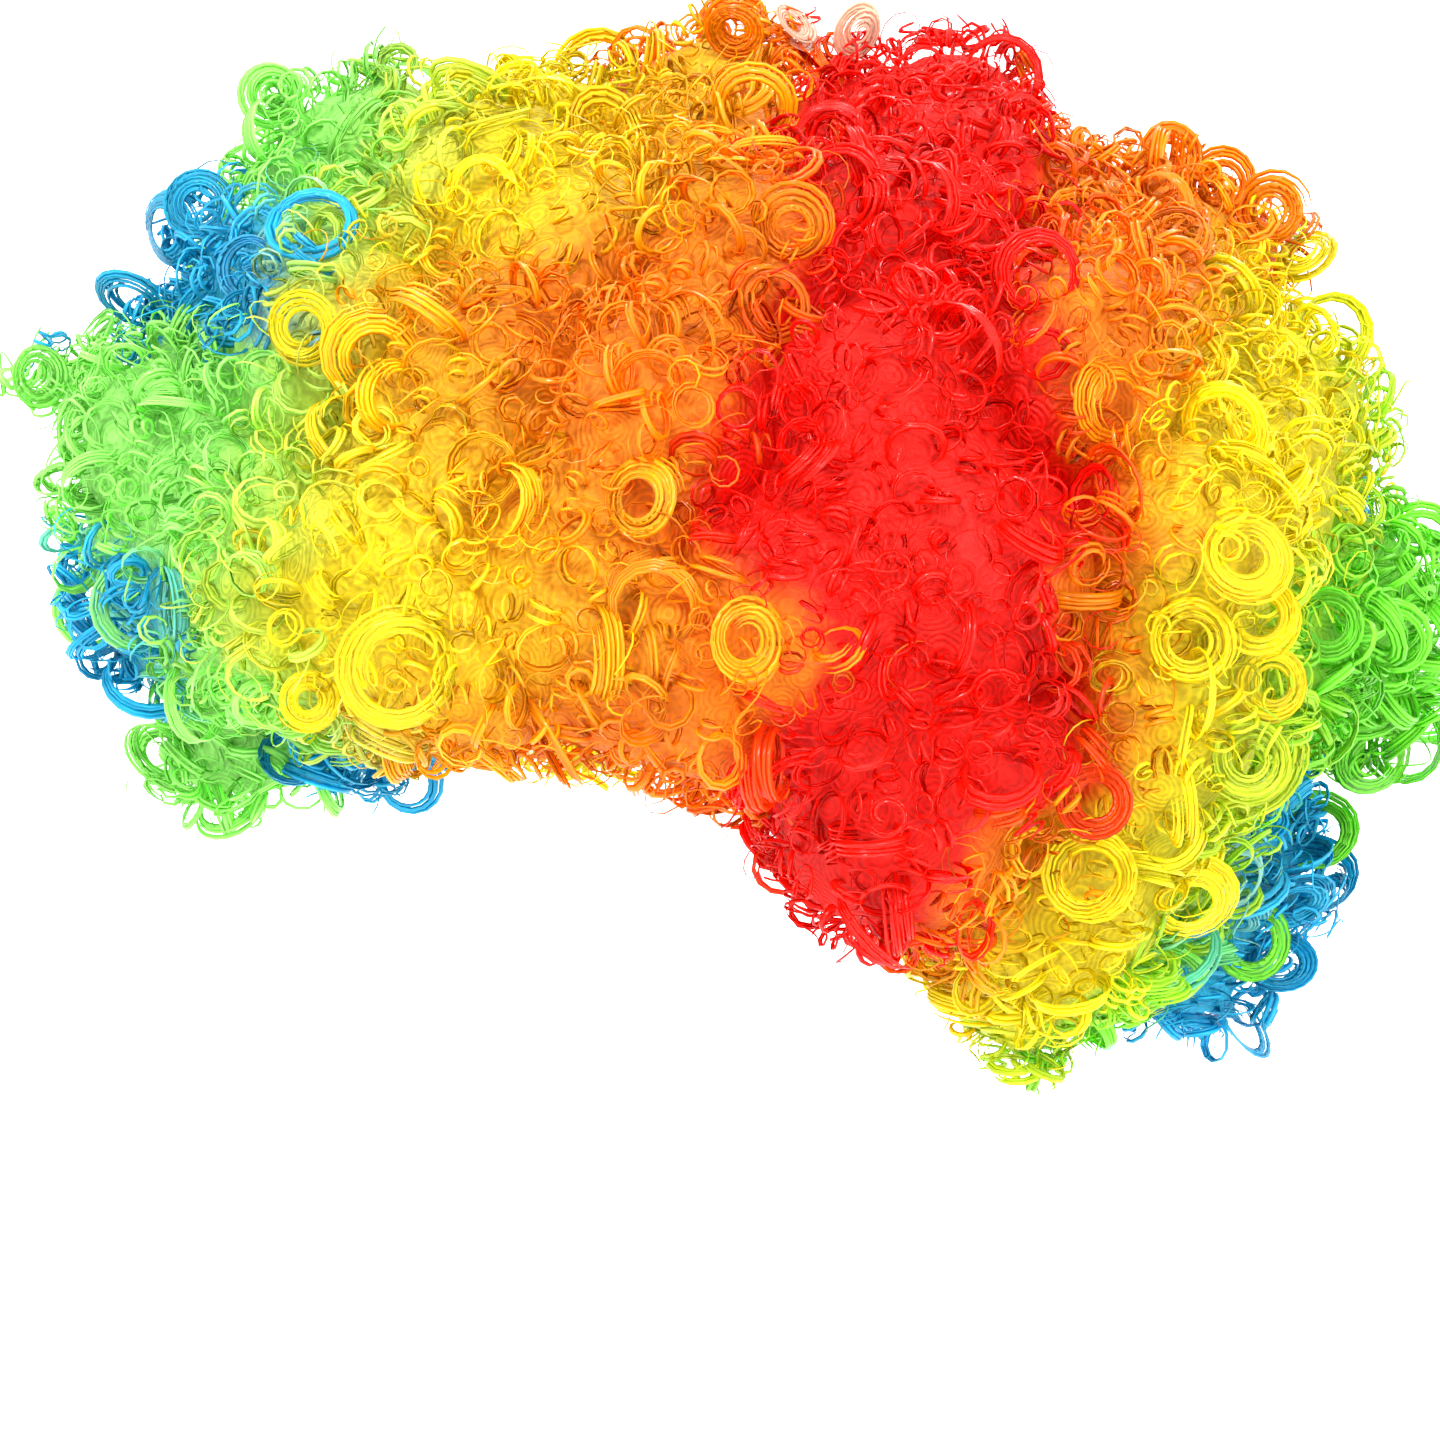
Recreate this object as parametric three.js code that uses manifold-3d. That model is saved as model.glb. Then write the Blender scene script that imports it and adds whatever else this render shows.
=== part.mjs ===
// A clown wig: a net cap with an elastic edge, under clumps of curls in rainbow colours.
// Millimetres, +Z up, the face looks along -Y, and +X is the wearer's left.
// The origin is the crown seat: the inside of the cap where it rests on top of the head.

import * as THREE from "three";
import { mergeVertices } from "three/addons/utils/BufferGeometryUtils.js";
import Module from "manifold-3d";

const wasm = await Module();
wasm.setup();
const { degToRad, radToDeg, lerp } = THREE.MathUtils;

// Room for the head inside the cap
const HEAD_WIDTH = 158;
const HEAD_LENGTH = 196;
const CROWN_TO_WIDEST = 96;

// Cap: a thin dome whose edge slopes from the forehead down to the nape
const CAP_WALL = 2;
const EDGE_DROP_FRONT = 62;
const EDGE_DROP_BACK = 140;

// Elastic band sewn inside the cap's edge
const BAND_WIDTH = 9;
const BAND_THICKNESS = 1.6;
const BAND_INSET = 1.5;

// How far the curls stand off the cap at the crown, the sides and the forehead
const CURL_LENGTH_TOP = 86;
const CURL_LENGTH_SIDE = 123;
const CURL_LENGTH_FRONT = 88;
const FULLEST_BELOW_CROWN = 58;

// Low down, the two sides are flatter by these shares of their reach. The change
// starts at the first height, an angle up from the fullest level, and ends at the second.
const LEFT_FLATTER = 0.03;
const RIGHT_FLATTER = 0.1;
const FLATTER_FROM = 45;
const FLATTER_TO = -5;

// Radii of the clumps that the curls gather in
const ROOT_RADIUS = 21;
const CLUMP_RADIUS = 40;
const FRINGE_RADIUS = 23;
const TUFT_RADIUS = 16;

// Gaps between the pieces, and the volume below which a cut-off corner is dropped
const PIECE_GAP = 0.3;
const CLUMP_GAP = 0.4;
const CRUMB_VOLUME = 1000;

// Fineness of the facets
const DOME_SIDES = 16;
const DOME_RINGS = 8;
const CLUMP_SIDES = 5;

// Sizes that follow from the ones above
const HEAD_HALVES = new THREE.Vector3(HEAD_WIDTH / 2, HEAD_LENGTH / 2, CROWN_TO_WIDEST);
const CAP_HALVES = HEAD_HALVES.clone().addScalar(CAP_WALL);
const CURL_HALVES = new THREE.Vector3(
  CAP_HALVES.x + CURL_LENGTH_SIDE,
  CAP_HALVES.y + CURL_LENGTH_FRONT,
  CAP_WALL + CURL_LENGTH_TOP + FULLEST_BELOW_CROWN,
);
const CURL_CENTRE = new THREE.Vector3(0, 0, -FULLEST_BELOW_CROWN);
const EDGE_DROP = (EDGE_DROP_FRONT + EDGE_DROP_BACK) / 2;
const EDGE_SLOPE = Math.atan((EDGE_DROP_BACK - EDGE_DROP_FRONT) / HEAD_LENGTH);
const FAR = 2 * CURL_HALVES.length();

// One letter stands for each colour's piece, and a dot for a place without a clump.
const COLOURS = {
  R: "hair_red",
  O: "hair_orange_right",
  o: "hair_orange_left",
  t: "hair_orange_temple",
  Y: "hair_yellow_right",
  y: "hair_yellow_left",
  B: "hair_blue_right",
  b: "hair_blue_left",
  G: "hair_green_right",
  T: "hair_green_back",
  g: "hair_green_left",
};

// Rows of clumps from the crown down. The height is the angle up from the fullest level.
// The clumps go round from the start turn, which is measured from the face to the left.
const ROWS = [
  { height: 90, start: 0, clumps: "O" },
  { height: 66, start: -148, clumps: "OYYYORRR" },
  { height: 43, start: -175, clumps: "ROYTBBYORoooo" },
  { height: 21, start: -159, clumps: "OYYTBGGYORRyyyyyR" },
  { height: 0, start: -170, clumps: "ROYTB......tyggbby" },
];

// Clumps along the lower edge, and the fringe clumps that hang by the head under them.
// An edge clump's tip is higher than the lip by the rise, a share of the half height. A
// fringe clump's tip is this share of the half width out, turned and below its root.
const EDGE_CLUMPS = "ROYTBGGGGYORybbbby";
const FRINGE_CLUMPS = "R.Y.BBBBG.ORyb.b.y";
const EDGE_START = -176;
const EDGE_RISE = 0.2;
const FRINGE_REACH = 0.64;
const FRINGE_TURN = 8;
const FRINGE_LIFT = 8;

// Small changes of reach that follow each other along a row
const ROW_REACH = [1, 0.965, 1.02, 0.98, 1.035, 0.97];

// Lower edge of the hair by the turn from the face to the wearer's left. The lip is the
// outer edge and the fringe hangs by the head, as shares of the curls' half height.
const EDGE = [
  { turn: -180, lip: -0.6, fringe: -0.74 },
  { turn: -120, lip: -0.58, fringe: -0.62 },
  { turn: -90, lip: -0.52, fringe: -0.5 },
  { turn: -70, lip: -0.26, fringe: -0.34 },
  { turn: -50, lip: -0.06, fringe: -0.17 },
  { turn: -15, lip: 0.1, fringe: 0 },
  { turn: 27, lip: 0.1, fringe: -0.04 },
  { turn: 40, lip: -0.24, fringe: -0.3 },
  { turn: 50, lip: -0.48, fringe: -0.56 },
  { turn: 75, lip: -0.76, fringe: -0.78 },
  { turn: 105, lip: -0.8, fringe: -0.78 },
  { turn: 180, lip: -0.6, fringe: -0.74 },
];

// Tufts that stand proud of the round form
const TUFTS = [
  { turn: -90, height: 59, reach: 1.12, colour: "T" },
  { turn: -83, height: 53, reach: 1.13, colour: "T" },
  { turn: -75, height: 41, reach: 1.05, colour: "B" },
  { turn: -67, height: 21, reach: 1.1, colour: "G" },
  { turn: -73, height: -32, reach: 1.02, colour: "G" },
  { turn: -159, height: 74, reach: 1.1, colour: "O" },
  { turn: 158, height: 66, reach: 1.11, colour: "R" },
  { turn: 150, height: 62, reach: 1.12, colour: "R" },
  { turn: 131, height: 37, reach: 1.1, colour: "o" },
  { turn: 115, height: -15, reach: 1.07, colour: "g" },
  { turn: 107, height: -36, reach: 1.09, colour: "b" },
  { turn: 97, height: -46, reach: 1.14, colour: "b" },
  { turn: 64, height: -45, reach: 1.03, colour: "y" },
];

// A clump is narrow at its root and fullest near its rounded end. Each ring's radius is
// a share of the root's radius and a share of the clump's.
const CLUMP_RINGS = [
  { along: 0, root: 1, full: 0 },
  { along: 0.77, root: 0, full: 1 },
  { along: 0.95, root: 0, full: 0.6 },
];

// A closed three.js geometry as a solid that can be joined and cut
function solidOf(geometry) {
  geometry.deleteAttribute("normal");
  geometry.deleteAttribute("uv");
  const merged = mergeVertices(geometry, 1e-4);
  const corners = merged.index.array;
  const kept = [];
  for (let i = 0; i < corners.length; i += 3) {
    const [a, b, c] = corners.slice(i, i + 3);
    if (a !== b && b !== c && c !== a) kept.push(a, b, c);
  }
  const mesh = new wasm.Mesh({
    numProp: 3,
    vertProperties: merged.attributes.position.array,
    triVerts: new Uint32Array(kept),
  });
  return new wasm.Manifold(mesh);
}

// A solid back as a three.js geometry
function geometryOf(solid) {
  const { vertProperties, triVerts } = solid.getMesh();
  const geometry = new THREE.BufferGeometry();
  geometry.setAttribute("position", new THREE.BufferAttribute(vertProperties, 3));
  geometry.setIndex(new THREE.BufferAttribute(triVerts, 1));
  geometry.computeVertexNormals();
  return geometry;
}

// Overlapping solids as one
function join(solids) {
  return wasm.Manifold.union(solids);
}

// The head's round shape, larger than the head's own by the given growth
function headDome(growth) {
  const halves = HEAD_HALVES.clone().addScalar(growth);
  const sphere = new THREE.SphereGeometry(1, DOME_SIDES, DOME_RINGS);
  sphere.rotateX(Math.PI / 2);
  sphere.scale(halves.x, halves.y, halves.z);
  sphere.translate(0, 0, -CROWN_TO_WIDEST);
  return solidOf(sphere);
}

// Everything below the cap's sloping edge, or above it, moved up by the given lift
function besideEdge(side, lift) {
  const box = new THREE.BoxGeometry(FAR, FAR, FAR);
  box.translate(0, 0, side * FAR / 2);
  box.rotateX(-EDGE_SLOPE);
  box.translate(0, 0, lift - EDGE_DROP);
  return solidOf(box);
}

function makeCap() {
  const shell = headDome(CAP_WALL).subtract(headDome(0));
  return shell.subtract(besideEdge(-1, 0));
}

function makeElasticBand() {
  const shell = headDome(-PIECE_GAP).subtract(headDome(-PIECE_GAP - BAND_THICKNESS));
  const trimmed = shell.subtract(besideEdge(-1, BAND_INSET));
  return trimmed.subtract(besideEdge(1, BAND_INSET + BAND_WIDTH));
}

// The room that the hair leaves for the cap, and below it for the head and neck
function makeHeadRoom() {
  const growth = CAP_WALL + PIECE_GAP;
  const column = new THREE.CylinderGeometry(1, 1, FAR, DOME_SIDES);
  column.rotateX(Math.PI / 2);
  column.scale(HEAD_HALVES.x + growth, HEAD_HALVES.y + growth, 1);
  column.translate(0, 0, -CROWN_TO_WIDEST - FAR / 2);
  return headDome(growth).add(solidOf(column));
}

// Values between the two rows of a table that lie round the key's value
function between(table, key, value) {
  const next = table.findIndex((row, i) => i > 0 && row[key] >= value);
  const [before, after] = [table[next - 1], table[next]];
  const share = (value - before[key]) / (after[key] - before[key]);
  const names = Object.keys(before);
  return Object.fromEntries(names.map((name) => [name, lerp(before[name], after[name], share)]));
}

// The direction at the given turn and height, both in degrees
function direction(turn, height) {
  const [t, h] = [degToRad(turn), degToRad(height)];
  return new THREE.Vector3(Math.cos(h) * Math.sin(t), -Math.cos(h) * Math.cos(t), Math.sin(h));
}

// A point at the given turn and height on the round form of the curls
function formPoint(turn, height, reach) {
  return direction(turn, height).multiply(CURL_HALVES).multiplyScalar(reach).add(CURL_CENTRE);
}

// The root of a clump on the cap. Clumps fan out evenly between the crown and the cap's edge.
function rootPoint(turn, height) {
  const lowest = angleOf(between(EDGE, "turn", turn).fringe);
  const edgeHeight = EDGE_DROP - (EDGE_DROP_BACK - EDGE_DROP) * Math.cos(degToRad(turn));
  const edgeAngle = angleOf((CROWN_TO_WIDEST - edgeHeight) / CAP_HALVES.z);
  const share = Math.max(0, (height - lowest) / (90 - lowest));
  const point = direction(turn, lerp(edgeAngle, 90, share)).multiply(CAP_HALVES);
  return point.sub(new THREE.Vector3(0, 0, CROWN_TO_WIDEST));
}

// An angle in degrees from its sine
function angleOf(sine) {
  return radToDeg(Math.asin(sine));
}

// The same turn, from -180 up to 180 degrees
function wrap(turn) {
  return THREE.MathUtils.euclideanModulo(turn + 180, 360) - 180;
}

// The share of its full reach that a clump has at the given place
function sideReach(turn, height) {
  const lean = Math.sin(degToRad(turn));
  const flatter = lean > 0 ? LEFT_FLATTER : RIGHT_FLATTER;
  const low = 1 - THREE.MathUtils.smoothstep(height, FLATTER_TO, FLATTER_FROM);
  return 1 - low * flatter * Math.abs(lean);
}

// A clump of one colour, from the cap out to the round form
function clumpAt(turn, height, reach, radius, letter) {
  return { root: rootPoint(turn, height), tip: formPoint(turn, height, reach), radius, letter };
}

// Each letter with its turn, spaced evenly round from the start turn
function placed(letters, start) {
  return [...letters].map((letter, i) => ({ letter, turn: wrap(start + (i * 360) / letters.length) }));
}

function rowClumps({ height, start, clumps }) {
  return placed(clumps, start).map(({ letter, turn }, i) => {
    const reach = ROW_REACH[(i + clumps.length) % ROW_REACH.length] * sideReach(turn, height);
    return clumpAt(turn, height, reach, CLUMP_RADIUS, letter);
  });
}

function edgeClumps() {
  return placed(EDGE_CLUMPS, EDGE_START).map(({ letter, turn }, i) => {
    const height = angleOf(between(EDGE, "turn", turn).lip + EDGE_RISE);
    const reach = ROW_REACH[i % ROW_REACH.length] * sideReach(turn, height);
    return clumpAt(turn, height, reach, CLUMP_RADIUS, letter);
  });
}

function fringeClumps() {
  return placed(FRINGE_CLUMPS, EDGE_START).map(({ letter, turn }) => {
    const drop = between(EDGE, "turn", turn).fringe;
    const tip = formPoint(turn + FRINGE_TURN, 0, FRINGE_REACH);
    tip.z = CURL_CENTRE.z + drop * CURL_HALVES.z;
    const root = rootPoint(turn, angleOf(drop) + FRINGE_LIFT);
    return { root, tip, radius: FRINGE_RADIUS, letter };
  });
}

function tuftClumps() {
  return TUFTS.map(({ turn, height, reach, colour }) =>
    clumpAt(turn, height, reach, TUFT_RADIUS, colour),
  );
}

// One clump as a solid, thicker all round by the given growth
function clumpSolid({ root, tip, radius }, growth) {
  const axis = tip.clone().sub(root);
  const length = axis.length();
  const rings = CLUMP_RINGS.map(
    ({ along, root: rootShare, full }) =>
      new THREE.Vector2(rootShare * ROOT_RADIUS + full * radius + growth, along * length),
  );
  rings[0].y -= growth;
  const profile = [new THREE.Vector2(0, -growth), ...rings, new THREE.Vector2(0, length + growth)];
  const lathe = new THREE.LatheGeometry(profile, CLUMP_SIDES);
  const turn = new THREE.Quaternion().setFromUnitVectors(new THREE.Vector3(0, 1, 0), axis.normalize());
  lathe.applyQuaternion(turn);
  lathe.translate(root.x, root.y, root.z);
  return solidOf(lathe);
}

// A cut solid without the crumbs that a neighbour's clump leaves of a corner
function withoutCrumbs(solid) {
  return join(solid.decompose().filter((body) => body.volume() > CRUMB_VOLUME));
}

// Each colour's clumps, cut clear of the head room and of the colours before it
function makeHair() {
  const clumps = [...ROWS.flatMap(rowClumps), ...edgeClumps(), ...fringeClumps(), ...tuftClumps()];
  const taken = [makeHeadRoom()];
  return Object.entries(COLOURS).map(([letter, name]) => {
    const own = clumps.filter((clump) => clump.letter === letter);
    const whole = join(own.map((clump) => clumpSolid(clump, 0)));
    const cut = withoutCrumbs(whole.subtract(join(taken)));
    taken.push(join(own.map((clump) => clumpSolid(clump, CLUMP_GAP))));
    return [name, cut];
  });
}

// Colour and roughness of each piece
const LOOKS = {
  wig_cap: { color: "#1c1a1a", roughness: 0.9 },
  elastic_band: { color: "#262424", roughness: 0.8 },
  hair_red: { color: "#e8140c", roughness: 0.45 },
  hair_orange_right: { color: "#ff8410", roughness: 0.45 },
  hair_orange_left: { color: "#ff8410", roughness: 0.45 },
  hair_orange_temple: { color: "#ff8c14", roughness: 0.45 },
  hair_yellow_right: { color: "#ffdc18", roughness: 0.45 },
  hair_yellow_left: { color: "#ffdc18", roughness: 0.45 },
  hair_green_right: { color: "#62dc4c", roughness: 0.45 },
  hair_green_back: { color: "#7ce858", roughness: 0.45 },
  hair_green_left: { color: "#50cc38", roughness: 0.45 },
  hair_blue_right: { color: "#1c90c8", roughness: 0.45 },
  hair_blue_left: { color: "#1c90c8", roughness: 0.45 },
};

function meshOf(name, solid) {
  const material = new THREE.MeshStandardMaterial({ ...LOOKS[name], metalness: 0 });
  const mesh = new THREE.Mesh(geometryOf(solid), material);
  mesh.name = name;
  return mesh;
}

const wig = new THREE.Group();
wig.add(meshOf("wig_cap", makeCap()));
wig.add(meshOf("elastic_band", makeElasticBand()));
for (const [name, solid] of makeHair()) wig.add(meshOf(name, solid));

export default wig;
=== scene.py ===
"""A curly clown wig in rainbow stripes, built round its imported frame.

Metres, +Z up. The origin is the crown seat inside the cap, the face looks along -Y, and
+X is the wearer's left.
"""

import math

import bpy
import numpy as np
from bpy.props import FloatProperty, FloatVectorProperty, IntProperty, PointerProperty
from bpy.types import Operator, Panel, PropertyGroup
from mathutils import Matrix, Vector, noise
from mathutils.bvhtree import BVHTree
from mathutils.kdtree import KDTree


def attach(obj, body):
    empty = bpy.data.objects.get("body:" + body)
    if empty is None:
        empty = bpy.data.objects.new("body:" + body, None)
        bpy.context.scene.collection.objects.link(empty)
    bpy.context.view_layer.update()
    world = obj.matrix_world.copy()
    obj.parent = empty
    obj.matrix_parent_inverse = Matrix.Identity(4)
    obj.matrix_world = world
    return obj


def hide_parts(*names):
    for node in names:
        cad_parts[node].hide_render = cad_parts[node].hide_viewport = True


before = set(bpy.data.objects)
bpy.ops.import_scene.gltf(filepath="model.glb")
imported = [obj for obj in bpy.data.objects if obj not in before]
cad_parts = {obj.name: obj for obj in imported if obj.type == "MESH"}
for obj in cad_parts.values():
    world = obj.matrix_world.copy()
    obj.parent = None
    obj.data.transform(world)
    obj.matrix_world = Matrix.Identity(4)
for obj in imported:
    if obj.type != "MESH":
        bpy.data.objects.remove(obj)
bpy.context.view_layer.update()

bl_info = {
    "name": "Clown wig",
    "version": (1, 0, 0),
    "blender": (4, 5, 0),
    "location": "3D View > Sidebar > Wig",
    "description": "Curls, net cap and elastic edge of a rainbow clown wig",
    "category": "Object",
}

MM = 0.001

# The head's room, and how far the hair keeps from it
HEAD_HALVES = np.array([79, 98, 96]) * MM
HEAD_CENTRE = np.array([0, 0, -96]) * MM
HEAD_GAP = 1.5 * MM

# The round form that the curls fill
FORM_HALVES = np.array([204, 188, 146]) * MM
FORM_CENTRE = np.array([0, 0, -58]) * MM

# The under-layer is swollen a little. Then its outer side is sunk: from the first of these
# shares of the head's size on, and in full past the second
UNDER_SWELL = 2 * MM
SINK_FROM, SINK_TO = 1.1, 1.3

# The side that faces the viewer: across is to the viewer's right, rise is up and near is
# towards the eye. What points near by more than this share is seen.
VIEW_TURN = math.radians(27)
VIEW_HEIGHT = math.radians(20.5)
NEAR = np.array([
    math.sin(VIEW_TURN) * math.cos(VIEW_HEIGHT),
    -math.cos(VIEW_TURN) * math.cos(VIEW_HEIGHT),
    math.sin(VIEW_HEIGHT),
])
ACROSS = np.array([math.cos(VIEW_TURN), math.sin(VIEW_TURN), 0])
RISE = np.cross(NEAR, ACROSS)
SEEN_FROM = 0.05

# The hair pieces with their slots and the dye of their curls at the back
HAIR = {
    "hair_red": ("red_curls", "red"),
    "hair_orange_right": ("orange_curls", "orange"),
    "hair_orange_left": ("orange_curls", "orange"),
    "hair_orange_temple": ("orange_curls", "orange"),
    "hair_yellow_right": ("yellow_curls", "yellow"),
    "hair_yellow_left": ("yellow_curls", "yellow"),
    "hair_green_right": ("green_curls", "mint"),
    "hair_green_back": ("green_curls", "mint"),
    "hair_green_left": ("green_curls", "green"),
    "hair_blue_right": ("blue_curls", "blue"),
    "hair_blue_left": ("blue_curls", "blue"),
}

# Stripes from the wearer's right to left, how wide each runs into the next, and where
# one ends and the next begins. These widths and ends are shares of the form's half size
# across, and the ends are given at shares of its half size up.
STRIPES = ["blue", "mint", "yellow", "orange", "red", "orange", "yellow", "green", "blue"]
STRIPE_BLENDS = np.array([0.06, 0.20, 0.36, 0.06, 0.06, 0.12, 0.22, 0.06])
STRIPE_ENDS = [
    {"rise": -0.95, "ends": [-0.50, -0.48, -0.46, 0.00, 0.16, 0.22, 0.30, 0.62]},
    {"rise": -0.80, "ends": [-0.50, -0.48, -0.46, 0.00, 0.16, 0.24, 0.40, 0.60]},
    {"rise": -0.66, "ends": [-0.50, -0.48, -0.46, 0.00, 0.22, 0.27, 0.52, 0.63]},
    {"rise": -0.56, "ends": [-0.50, -0.48, -0.46, 0.00, 0.25, 0.32, 0.62, 0.67]},
    {"rise": -0.42, "ends": [-0.70, -0.50, -0.46, -0.02, 0.27, 0.40, 0.64, 0.72]},
    {"rise": -0.36, "ends": [-0.86, -0.50, -0.45, -0.01, 0.31, 0.43, 0.65, 1.10]},
    {"rise": -0.28, "ends": [-0.79, -0.50, -0.44, -0.01, 0.46, 0.51, 0.68, 1.10]},
    {"rise": -0.20, "ends": [-0.79, -0.52, -0.42, 0.00, 0.46, 0.53, 0.69, 1.10]},
    {"rise": -0.05, "ends": [-0.77, -0.66, -0.25, 0.10, 0.44, 0.52, 0.70, 1.10]},
    {"rise": 0.05, "ends": [-0.80, -0.67, -0.26, 0.04, 0.40, 0.52, 0.73, 1.10]},
    {"rise": 0.15, "ends": [-1.10, -0.60, -0.29, -0.07, 0.49, 0.56, 0.86, 1.10]},
    {"rise": 0.35, "ends": [-1.10, -0.57, -0.39, -0.05, 0.44, 0.55, 0.92, 1.10]},
    {"rise": 0.42, "ends": [-1.10, -0.56, -0.44, 0.00, 0.42, 0.57, 0.90, 1.10]},
    {"rise": 0.48, "ends": [-0.60, -0.56, -0.46, 0.02, 0.42, 0.60, 0.90, 1.10]},
    {"rise": 0.57, "ends": [-0.60, -0.55, -0.44, 0.08, 0.39, 0.68, 0.92, 1.10]},
    {"rise": 0.70, "ends": [-0.60, -0.50, -0.16, 0.11, 0.44, 0.74, 0.92, 1.10]},
    {"rise": 0.76, "ends": [-1.10, -0.44, -0.10, 0.07, 0.45, 0.76, 0.92, 1.10]},
    {"rise": 0.95, "ends": [-1.10, -0.41, -0.03, 0.10, 0.47, 0.76, 0.92, 1.10]},
]

# Three kinds of curl, each of side-by-side strands wound into a coil: radii, turns, rise
# for each turn and the strands' width in millimetres, how many strands it has and in
# how many steps each is drawn, and its share of all curls at the top and at the edge
CURL_KINDS = [
    {"radius": (2.2, 4.2), "turns": (1.4, 2.4), "pitch": 3.2, "width": 1.35,
     "strands": 1, "steps": 17, "top": 0.60, "edge": 0.42},
    {"radius": (4.4, 7.4), "turns": (1.1, 1.6), "pitch": 3.2, "width": 1.4,
     "strands": 2, "steps": 16, "top": 0.35, "edge": 0.42},
    {"radius": (8.0, 11.5), "turns": (1.1, 1.5), "pitch": 3.4, "width": 1.45,
     "strands": 4, "steps": 22, "top": 0.05, "edge": 0.16},
]

# Large ringlets that face the viewer: millimetres across and up from the form's middle,
# and each ringlet's own size across
RINGLETS = [
    {"across": -93, "rise": -27, "size": 30, "dye": "yellow"},
    {"across": -121, "rise": 70, "size": 20, "dye": "yellow"},
    {"across": -119, "rise": -36, "size": 17, "dye": "yellow"},
    {"across": -24, "rise": 21, "size": 22, "dye": "amber"},
    {"across": 6, "rise": -19, "size": 22, "dye": "amber"},
    {"across": 3, "rise": 155, "size": 18, "dye": "orange"},
    {"across": 19, "rise": 100, "size": 21, "dye": "orange"},
    {"across": 22, "rise": 158, "size": 16, "dye": "peach"},
    {"across": 37, "rise": 159, "size": 17, "dye": "peach"},
    {"across": 106, "rise": -65, "size": 21, "dye": "flame"},
    {"across": 149, "rise": 5, "size": 23, "dye": "yellow"},
    {"across": 152, "rise": -12, "size": 22, "dye": "yellow"},
    {"across": 133, "rise": -19, "size": 24, "dye": "yellow"},
    {"across": 156, "rise": -31, "size": 22, "dye": "yellow"},
    {"across": 172, "rise": -14, "size": 22, "dye": "green"},
    {"across": 104, "rise": -87, "size": 25, "dye": "yellow"},
    {"across": 133, "rise": -93, "size": 25, "dye": "yellow"},
    {"across": 151, "rise": -105, "size": 24, "dye": "green"},
    {"across": 121, "rise": -124, "size": 19, "dye": "lime"},
    {"across": 150, "rise": -53, "size": 21, "dye": "lime"},
    {"across": 185, "rise": -55, "size": 24, "dye": "green"},
    {"across": 171, "rise": -73, "size": 24, "dye": "green"},
    {"across": 163, "rise": -94, "size": 23, "dye": "blue"},
    {"across": 162, "rise": -114, "size": 22, "dye": "blue"},
    {"across": 127, "rise": 120, "size": 20, "dye": "orange"},
    {"across": 142, "rise": 112, "size": 21, "dye": "orange"},
    {"across": 156, "rise": 104, "size": 20, "dye": "orange"},
    {"across": 165, "rise": 91, "size": 19, "dye": "yellow"},
    {"across": -171, "rise": 82, "size": 24, "dye": "blue"},
    {"across": -163, "rise": 98, "size": 23, "dye": "blue"},
    {"across": -150, "rise": 106, "size": 20, "dye": "blue"},
    {"across": -130, "rise": 137, "size": 18, "dye": "mint"},
    {"across": -196, "rise": 57, "size": 18, "dye": "mint"},
]

# Their turns, rise for each turn, strands' width in millimetres, strands and drawn steps.
# They face the viewer with a small lean, or lean any way past the form's outline.
RINGLET_KIND = {"turns": (1.5, 1.9), "pitch": 2, "width": (1.1, 1.5), "strands": 5, "steps": 30}

RINGLET_LEAN, BEYOND_LEAN = 0.35, 1.2

# How many small curls gather round each ringlet past the form's outline, how far from it
# they scatter, and how far they are drawn in, in millimetres
FILLING_CURLS = 8
FILLING_SCATTER = 3.5
FILLING_PULL = (1, 12)

# Loose strands: radii, turns, rise, how much more they hang low down, and drawn steps
FRIZZ_KIND = {"radius": (3, 7), "turns": (0.8, 1.6), "rise": (4, 11), "hang": 10, "steps": 16}

# The gap between a curl's strands, and a strand's thickness for its width
STRAND_GAP = 1.1 * MM
STRAND_THICKNESS = 0.4

# How far curls lean from upright in degrees, how much wider apart they are on the side
# towards the head, how much their place in the stripes varies, and how much painted light
# lightens the curls raised on lumps and painted shade darkens those sunk between them
CURL_LEAN = (20, 92)
INNER_SPACING = 1.8
PLACE_JITTER = 0.03
LUMP_PAINTED_SHADE = 0.2

# Filaments are far thinner than this, and are drawn as coarse as they need to show. Each
# strand's streaks start this much further on than the last one's.
STREAK_WIDTH = 0.6 * MM
STREAK_LENGTH = 12 * MM
STREAK_START = 7.31

# How many places are tried for each curl, and the free space that one needs over it
PLACES_FOR_CURL = 6
FREE_SPACE = 12 * MM

# Small curls of the under-layer, the rings in each, the lumps that curls gather in, and
# how the under-layer's colour borders drift
KNOT_SIZE = 11 * MM
KNOT_RING = 1.5 * MM
LUMP_SIZE = 24 * MM
DRIFT_SCALE = 60
DRIFT = 0.04

# Names of the attribute and the UV map that the materials read
DYE = "dye"
FIBRE_UV = "fibre"


def linear(hex_colour):
    """The linear colour of an sRGB hex value."""
    shares = [int(hex_colour[i:i + 2], 16) / 255 for i in (1, 3, 5)]
    return [s / 12.92 if s <= 0.04045 else ((s + 0.055) / 1.055) ** 2.4 for s in shares]


def dye_property(name, hex_colour):
    """A colour that the user can change."""
    return FloatVectorProperty(
        name=name,
        description=f"Dye of the {name.lower()} curls",
        subtype="COLOR",
        size=3,
        min=0,
        max=1,
        default=linear(hex_colour),
    )


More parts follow.
